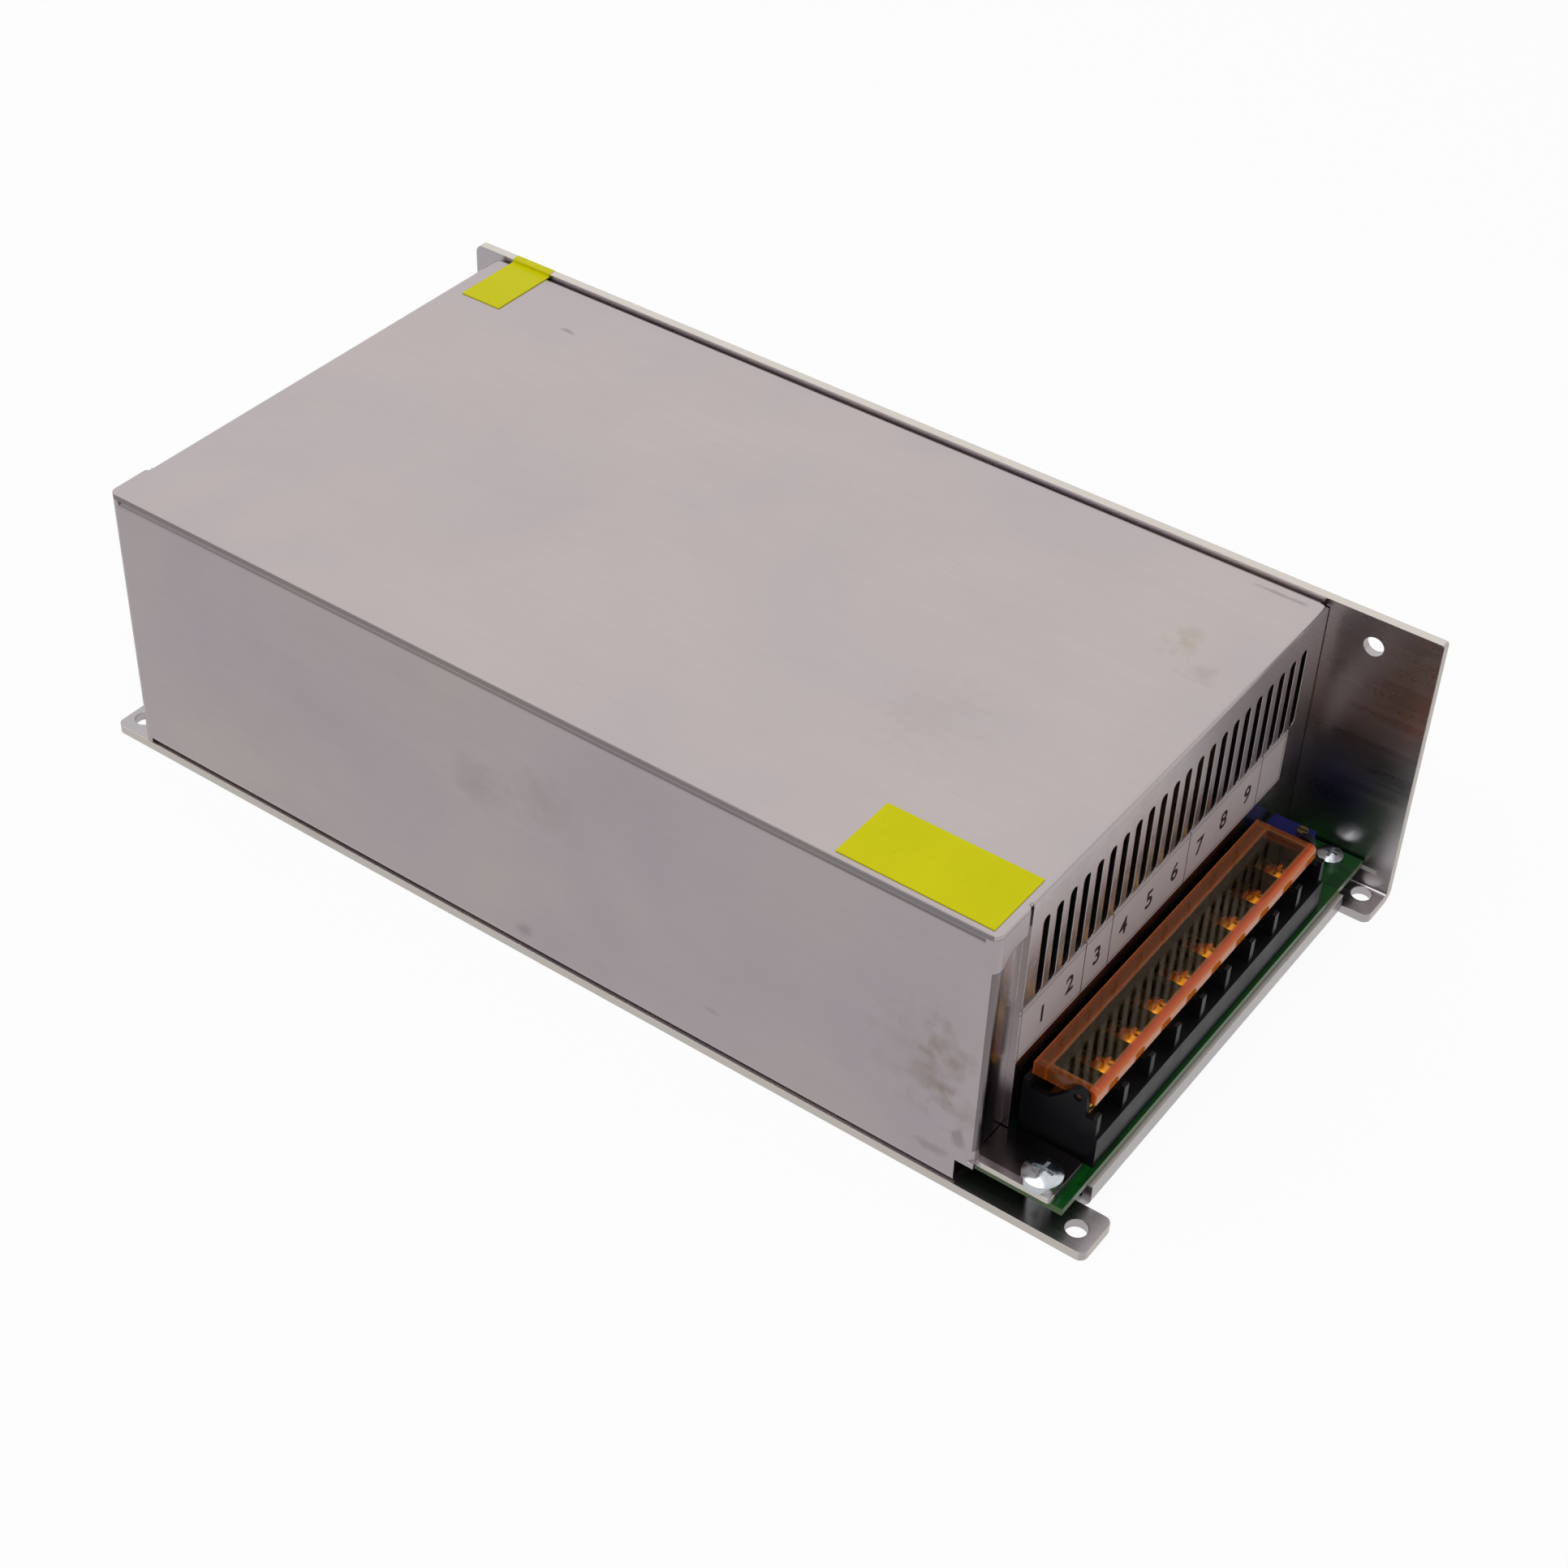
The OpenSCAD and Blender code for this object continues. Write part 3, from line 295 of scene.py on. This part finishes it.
def board_mat():
    """Green solder mask: darker ground, lighter copper fields and a pale cut edge."""
    g = Graph("board_green")
    g.bevel(0.0001)
    col = g.mix(g.ramp(g.noise(260, 3), 0.35, 0.7), lin(0, 44, 10), lin(2, 64, 14))
    v = g.node("ShaderNodeTexVoronoi", distance="CHEBYCHEV")
    g.put(v.inputs["Vector"], g.scaled((170, 90, 1)))
    v.inputs["Scale"].default_value = 1.0
    field = g.ramp(v.outputs["Distance"], 0.30, 0.34)
    col = g.mix(g.math("MULTIPLY", field, 0.4), col, lin(8, 84, 24))
    skin = 0.0001
    edge = g.inside_any([("X", board_hi[0] - skin, FAR), ("Y", -FAR, board_lo[1] + skin)])
    plies = g.ramp(g.noise((10, 10, 1500), 2), 0.3, 0.7)
    col = g.mix(edge, col, g.mix(plies, lin(74, 92, 50), lin(40, 78, 34)))
    g.set(Base_Color=col, Roughness=0.24, Coat_Weight=0.12, Coat_Roughness=0.1, Specular_IOR_Level=0.3)
    g.bump(field, 0.25, 0.00006)
    return g.mat


def clear_mat(name, colour, rough):
    """Clear glass, very slightly uneven."""
    g = Graph(name)
    g.set(
        Base_Color=g.mix(g.ramp(g.noise(500, 3), 0.3, 0.7, 0.0, 0.3), colour, shade(colour, 0.85)),
        Roughness=rough, IOR=1.49, Transmission_Weight=1.0,
    )
    return g.mat


def lid_mat():
    """Amber moulding: clear plate inside a cloudier rim, dyed through its depth, with painted highlights along
    its edges and a front rim painted brighter as painted light.
    """
    g = Graph("lid_amber")
    x, y = g.axis("X"), g.axis("Y")
    rim, edge = 0.0, 0.0
    # distance in from each side, and the width of the rim there
    sides = [
        (g.math("SUBTRACT", x, lid_lo[0]), 0.0030), (g.math("SUBTRACT", lid_hi[0], x), 0.0018),
        (g.math("SUBTRACT", y, lid_lo[1]), 0.0027), (g.math("SUBTRACT", lid_hi[1], y), 0.0027),
    ]
    for d, wide in sides:
        rim = g.math("MAXIMUM", rim, g.ramp(d, wide + 0.0002, wide - 0.0002))
        # painted highlight: bright lines along the outer edges and along the rim's inner edge
        edge = g.math("MAXIMUM", edge, g.ramp(d, 0.0006, 0.0001))
        line = g.math("MULTIPLY", g.math("GREATER_THAN", d, wide - 0.0005), g.math("LESS_THAN", d, wide))
        edge = g.math("MAXIMUM", edge, g.math("MULTIPLY", line, 0.7))
    # painted light: the front rim is painted brighter than the rest of the rim
    front = g.ramp(x, lid_hi[0] - 0.0030, lid_hi[0] - 0.0006)
    # the hinge pins reach past the plate at both ends
    pin_in, pin_out = 0.0012, 0.0010
    pins = g.math(
        "MAXIMUM",
        g.ramp(y, lid_lo[1] + pin_in, lid_lo[1] + pin_out),
        g.ramp(y, lid_hi[1] - pin_in, lid_hi[1] - pin_out),
    )
    # painted light: the front rim gets a brighter, stronger orange than the rest of the rim
    body = g.mix(front, lin(166, 92, 36), lin(214, 78, 2))
    # painted highlight: the edge lines get a pale orange
    body = g.mix(edge, body, lin(222, 118, 36))
    body = g.mix(pins, body, lin(64, 34, 18))
    # the front rim with its painted light and the edges with their painted highlight are also made cloudier
    cloudy = g.math("MAXIMUM", g.math("MULTIPLY", front, 0.75), g.math("MULTIPLY", edge, 0.55))
    cloudy = g.math("MULTIPLY", rim, g.math("MAXIMUM", cloudy, 0.36))
    cloudy = g.math("MAXIMUM", cloudy, pins)
    g.set(
        Base_Color=g.mix(rim, lin(255, 236, 196), body),
        Roughness=g.ramp(g.noise(400, 3), 0.3, 0.7, 0.03, 0.09),
        Transmission_Weight=g.ramp(cloudy, 0.0, 1.0, 1.0, 0.0),
        IOR=1.47,
    )
    dye = g.node("ShaderNodeVolumeAbsorption")
    dye.inputs["Color"].default_value = (0.97, 0.80, 0.10, 1)
    dye.inputs["Density"].default_value = 700
    g.tree.links.new(dye.outputs[0], g.out.inputs["Volume"])
    return g.mat


# Smudges and scratches: softness, raggedness, colour and amount follow the centre and the radii
def on_side(x, z):
    return (x, panel_lo[1], z)


def on_top(x, y):
    return (x, y, cover_hi[2])


BROWN, SOOT = lin(128, 112, 92), lin(110, 102, 104)
side_marks = [
    (on_side(0.0925, 0.0335), (0.0056, 0.004, 0.0090), 1.0, 0.5, BROWN, 0.42),
    (on_side(0.0890, 0.0260), (0.0048, 0.004, 0.0080), 1.0, 0.6, BROWN, 0.32),
    (on_side(0.0945, 0.0205), (0.0046, 0.004, 0.0044), 1.0, 0.6, BROWN, 0.26),
    (on_side(0.0860, 0.0300), (0.0110, 0.004, 0.0150), 1.0, 0.5, BROWN, 0.16),
    (on_side(-0.0182, 0.0404), (0.0090, 0.004, 0.0070), 1.0, 0.3, SOOT, 0.20),
    (on_side(-0.0020, 0.0440), (0.0080, 0.004, 0.0080), 1.0, 0.4, BROWN, 0.14),
    (on_side(-0.0080, 0.0071), (0.0030, 0.004, 0.0020), 1.0, 0.3, SOOT, 0.34),
    (on_side(0.0390, 0.0130), (0.0026, 0.004, 0.0008), 1.0, 0.4, SOOT, 0.25),
    (on_side(0.0958, 0.0141), (0.0014, 0.004, 0.0030), 0.7, 0.7, SOOT, 0.40),
    (on_side(0.0909, 0.0086), (0.0040, 0.004, 0.0014), 0.7, 0.7, SOOT, 0.30),
]
top_marks = [
    (on_top(0.0829, 0.0313), (0.0040, 0.0060, 0.004), 1.0, 0.5, lin(160, 146, 122), 0.34),
    (on_top(0.0905, 0.0242), (0.0046, 0.0036, 0.004), 1.0, 0.5, lin(150, 140, 134), 0.26),
    (on_top(0.0905, 0.0566), (0.0075, 0.0007, 0.004), 0.6, 0.3, lin(128, 120, 120), 0.45),
    (on_top(-0.0828, 0.0449), (0.0022, 0.0009, 0.004), 0.7, 0.4, lin(120, 108, 104), 0.50),
    (on_top(0.0560, -0.0180), (0.0120, 0.0160, 0.004), 1.0, 0.4, lin(166, 154, 142), 0.14),
]

# Cut edges, matt as bare metal and painted paler as a highlight where they catch the light: how deep a face
# counts as cut
CUT = 0.00012
chassis_cut_edge_highlight = [
    ("Z", chassis_hi[2] - CUT, FAR),  # the tall wall's top
    ("X", chassis_hi[0] - CUT, FAR),  # the front tabs
    ("Z", board_lo[2] - 0.0012, board_lo[2], "X", board_hi[0] - 0.0004, board_hi[0] + 0.0032),  # the lip's top
    ("Y", -FAR, chassis_lo[1] + CUT, "Z", 0.0, 0.0021),  # the floor's near edge
]
panel_cut_edge_highlight = [
    ("X", panel_hi[0] - CUT, FAR),  # the foot's end
    # the foot's near edge
    ("Z", board_hi[2], board_hi[2] + 0.0013, "Y", -FAR, panel_lo[1] + 0.0014, "X", chassis_hi[0] - 0.024, FAR),
]

# Painted shade and its amount: the foot's top, the front flange's face and the cover's near edge are painted
# darker for the shade that falls on them
foot_top = (
    "X", block_lo[0] - 0.004, board_hi[0] - 0.0006,
    "Y", board_lo[1] + 0.0012, block_lo[1] - 0.0004,
    "Z", board_hi[2], board_hi[2] + 0.004,
)
flange_face = (
    "X", label_lo[0] - 0.0030, block_lo[0] - 0.0002,
    "Y", panel_lo[1] + 0.0004, block_lo[1] + 0.02,
    "Z", board_hi[2] + 0.004, panel_hi[2] - 0.0080,
)
panel_painted_shade = [(foot_top, 0.84), (flange_face, 0.6)]
cover_painted_shade = [(("Y", -FAR, cover_lo[1] + 0.00025), 0.6)]

# Printed rules of the grey label: its outline, and dividers after four of the terminals
INK = lin(24, 20, 24)
MARGIN = 0.0007
OUTLINE, DIVIDER = 0.00013, 0.00018  # half the width of a rule
DIVIDED_AFTER = (2, 3, 6, 9)
rules = [("Z", label_lo[2] + 0.0006, label_lo[2] + 0.0008), ("Z", label_hi[2] - 0.0008, label_hi[2] - 0.0006)]
rules += [("Y", y - OUTLINE, y + OUTLINE) for y in (label_lo[1] + MARGIN, label_hi[1] - MARGIN)]
for way in DIVIDED_AFTER:
    middle = way_y[way - 1] + way_pitch / 2
    rules.append(("Y", middle - DIVIDER, middle + DIVIDER))

M = {
    "panel_metal": sheet_metal(
        "panel_metal", lin(180, 171, 169), lin(172, 163, 168), 0.19, side_marks, panel_cut_edge_highlight, panel_painted_shade),
    "cover_metal": sheet_metal(
        "cover_metal", lin(193, 183, 180), lin(186, 177, 180), 0.2, top_marks, (), cover_painted_shade),
    "chassis_metal": sheet_metal("chassis_metal", lin(188, 181, 179), lin(178, 174, 180), 0.27, (), chassis_cut_edge_highlight),
    "label_grey": label_mat("label_grey", lin(186, 174, 174), INK, rules, 0.25),
    "label_yellow": label_mat("label_yellow", lin(208, 203, 2), spec=0.12),
    "ink": label_mat("ink", INK),
    "board_green": board_mat(),
    "lid_amber": lid_mat(),
    "fuse_glass": clear_mat("fuse_glass", lin(225, 235, 238), 0.03),
}

# Colour and roughness
METALS = {
    "zinc_steel": ((205, 210, 214), 0.2),
    "terminal_nickel": ((150, 128, 84), 0.3),
    "brass": ((232, 186, 84), 0.24),
    "spring_metal": ((190, 184, 172), 0.3),
    "bar_metal": ((196, 194, 192), 0.35),
    "copper": ((176, 92, 48), 0.3),
    "standoff_steel": ((104, 108, 108), 0.4),
    "aged_brass": ((150, 132, 92), 0.35),
}
for name, (colour, rough) in METALS.items():
    M[name] = plain_metal(name, lin(*colour), rough)

# Colour and roughness, and what differs from plain plastic
PLASTICS = {
    "block_black": ((14, 14, 18), 0.34, dict(spec=0.14)),
    "fan_black": ((24, 24, 26), 0.45, {}),
    "chip_black": ((26, 26, 27), 0.5, {}),
    "can_black": ((28, 28, 32), 0.3, {}),
    "can_blue": ((22, 38, 78), 0.3, {}),
    "relay_blue": ((36, 86, 150), 0.3, {}),
    # painted shade: the trimmer's own blue, painted darker for the shade it sits in
    "trimmer_blue": ((8, 20, 92), 0.25, {}),
    "nylon_white": ((226, 222, 208), 0.4, {}),
    "wire_red": ((170, 30, 26), 0.42, {}),
    "ferrite": ((66, 66, 70), 0.6, dict(grain=1800, depth=0.00005)),
    "tape_yellow": ((206, 176, 70), 0.35, {}),
    "core_green": ((98, 128, 84), 0.5, {}),
    "core_yellow": ((206, 180, 70), 0.5, {}),
    "film_yellow": ((206, 150, 50), 0.35, {}),
}
for name, (colour, rough, finish) in PLASTICS.items():
    M[name] = plastic(name, lin(*colour), rough, **finish)

# Each node takes its slot's material, apart from two that are duller than the rest of theirs
slots = {s["node"]: s["material_slot"] for s in frame["record"]["subparts"]}
finer = {"board_standoffs": "standoff_steel", "trimmer_screw": "aged_brass"}
for name, obj in frame["nodes"].items():
    obj.data.materials.clear()
    obj.data.materials.append(M[finer.get(name, slots[name])])


# Plain numbers over the terminals
NUMBER_SIZE, NUMBER_WEIGHT, NUMBER_DEPTH = 0.0060, 0.00011, 0.00001
NUMBER_HEIGHT = 0.0044  # baseline over the label's lower edge
NUMBER_GAP = 0.00002  # clear of the label's face
UPRIGHT = Matrix(((0, 0, 1, 0), (1, 0, 0, 0), (0, 1, 0, 0), (0, 0, 0, 1)))  # text's X, Y, Z to the part's Y, Z, X
for i, y in enumerate(way_y):
    name = "number_%d" % (i + 1)
    text = bpy.data.curves.new(name, "FONT")
    text.body = str(i + 1)
    text.size = NUMBER_SIZE
    text.offset = NUMBER_WEIGHT
    text.align_x = "CENTER"
    text.extrude = NUMBER_DEPTH
    text.resolution_u = 4
    draft = bpy.data.objects.new("draft", text)
    scene.collection.objects.link(draft)
    bpy.context.view_layer.update()
    mesh = bpy.data.meshes.new_from_object(draft.evaluated_get(bpy.context.evaluated_depsgraph_get()))
    bpy.data.objects.remove(draft)
    mesh.transform(Matrix.Translation((label_hi[0] + NUMBER_GAP, y, label_lo[2] + NUMBER_HEIGHT)) @ UPRIGHT)
    number = bpy.data.objects.new(name, mesh)
    scene.collection.objects.link(number)
    mesh.materials.clear()
    mesh.materials.append(M["ink"])
    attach(number, "case")


# Floor, backdrop and lights
CAMERA_RAY, GLOSSY_RAY, CLEAR_RAY = "Is Camera Ray", "Is Glossy Ray", "Is Transmission Ray"


def tree_node(tree, kind, **inputs):
    n = tree.nodes.new(kind)
    for k, v in inputs.items():
        n.inputs[k.replace("_", " ")].default_value = v
    return n


def seen(tree, *rays):
    """1 for the given kinds of ray."""
    path = tree.nodes.new("ShaderNodeLightPath")
    out = path.outputs[rays[0]]
    for ray in rays[1:]:
        m = tree.nodes.new("ShaderNodeMath")
        m.operation = "MAXIMUM"
        tree.links.new(out, m.inputs[0])
        tree.links.new(path.outputs[ray], m.inputs[1])
        out = m.outputs[0]
    return out


def mapped(tree, value, lo, hi, a=0.0, b=1.0):
    """Value from a to b, carried to lo to hi."""
    n = tree_node(tree, "ShaderNodeMapRange", From_Min=a, From_Max=b, To_Min=lo, To_Max=hi)
    tree.links.new(value, n.inputs["Value"])
    return n.outputs[0]


def chosen(tree, fac, a, b):
    """Number a where fac is 0 and number b where it is 1."""
    n = tree.nodes.new("ShaderNodeMix")
    for socket, value in (("Factor", fac), ("A", a), ("B", b)):
        if isinstance(value, bpy.types.NodeSocket):
            tree.links.new(value, n.inputs[socket])
        else:
            n.inputs[socket].default_value = value
    return n.outputs["Result"]


def floor_mat():
    """Plain pale floor that looks white from the camera, a little greyer in the metal."""
    mat = bpy.data.materials.new("floor")
    mat.use_nodes = True
    t = mat.node_tree
    t.nodes.clear()
    out = t.nodes.new("ShaderNodeOutputMaterial")
    mix = t.nodes.new("ShaderNodeMixShader")
    white = tree_node(t, "ShaderNodeEmission", Color=(1, 1, 1, 1))
    plain = tree_node(t, "ShaderNodeBsdfDiffuse", Color=(0.86, 0.86, 0.87, 1))
    t.links.new(mapped(t, seen(t, CAMERA_RAY, GLOSSY_RAY, CLEAR_RAY), 0.0, 0.93), mix.inputs[0])
    t.links.new(mapped(t, seen(t, GLOSSY_RAY), 1.0, 0.80), white.inputs["Strength"])
    t.links.new(plain.outputs[0], mix.inputs[1])
    t.links.new(white.outputs[0], mix.inputs[2])
    t.links.new(mix.outputs[0], out.inputs["Surface"])
    return mat


FLOOR_REACH, FLOOR_DROP = 12, 0.0003
corners = [(x * FLOOR_REACH, y * FLOOR_REACH, 0) for x, y in ((-1, -1), (1, -1), (1, 1), (-1, 1))]
floor_mesh = bpy.data.meshes.new("floor")
floor_mesh.from_pydata(corners, [], [(0, 1, 2, 3)])
floor = bpy.data.objects.new("floor", floor_mesh)
floor.location.z = -FLOOR_DROP
scene.collection.objects.link(floor)
floor_mesh.materials.append(floor_mat())


def white_room():
    """White to the camera, soft to rough surfaces, and to shiny metal a room that is brighter one way."""
    world = bpy.data.worlds.new("world")
    scene.world = world
    world.use_nodes = True
    t = world.node_tree
    t.nodes.clear()
    out = t.nodes.new("ShaderNodeOutputWorld")
    background = tree_node(t, "ShaderNodeBackground", Color=(1, 1, 1, 1))
    coord = t.nodes.new("ShaderNodeTexCoord")
    dot = t.nodes.new("ShaderNodeVectorMath")
    dot.operation = "DOT_PRODUCT"
    dot.inputs[1].default_value = (-0.47, 0.70, 0.54)
    t.links.new(coord.outputs["Generated"], dot.inputs[0])
    room = mapped(t, dot.outputs["Value"], 0.30, 0.96, -0.35, 0.5)
    sharp = chosen(t, seen(t, CAMERA_RAY, CLEAR_RAY), room, 1.0)
    strength = chosen(t, seen(t, CAMERA_RAY, GLOSSY_RAY, CLEAR_RAY), 0.5, sharp)
    t.links.new(strength, background.inputs["Strength"])
    t.links.new(background.outputs[0], out.inputs["Surface"])


white_room()

LIT_POINT = (0, 0, 0.03)


def area(name, place, size, power):
    """Square soft light that faces the middle of the part."""
    data = bpy.data.lights.new(name, "AREA")
    data.shape = "RECTANGLE"
    data.size = data.size_y = size
    data.energy = power
    light = bpy.data.objects.new(name, data)
    scene.collection.objects.link(light)
    light.location = place
    light.rotation_mode = "QUATERNION"
    light.rotation_quaternion = (Vector(LIT_POINT) - Vector(place)).to_track_quat("-Z", "Y")


area("key", (-0.25, -0.35, 1.2), 1.0, 6.5)
area("fill", (0.9, -0.5, 0.8), 0.7, 1.5)
